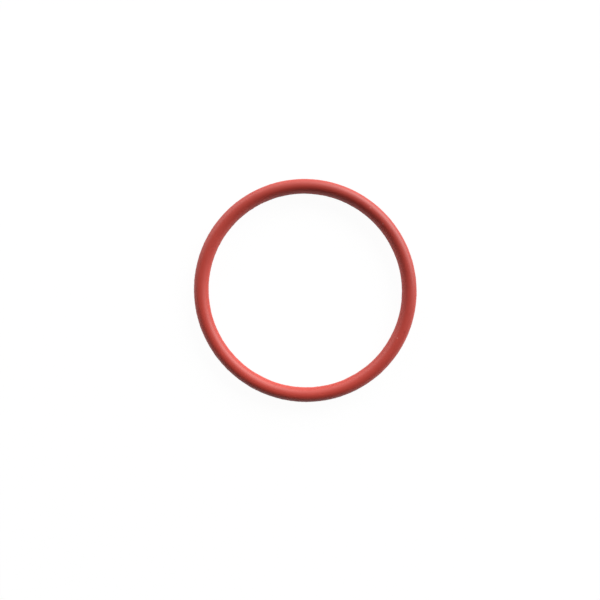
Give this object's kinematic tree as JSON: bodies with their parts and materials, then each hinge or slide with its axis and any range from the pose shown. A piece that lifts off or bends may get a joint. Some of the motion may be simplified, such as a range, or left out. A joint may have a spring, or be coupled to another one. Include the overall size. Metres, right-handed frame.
{
  "type": "o-ring",
  "caption": "Round-section sealing ring moulded in soft red silicone rubber, with a fine flash line round its inside and its outside.",
  "frame": {"origin": "centre of the ring, on its axis at the mid plane of its section", "axes": "+Z along the ring's axis, away from the surface that it lies on; X and Y lie in the ring's mid plane and are interchangeable"},
  "size_m": [0.0461, 0.046, 0.003],
  "materials": {
    "silicone": "satin"
  },
  "bodies": {
    "root": {"o_ring": "silicone"}
  },
  "joints": []
}
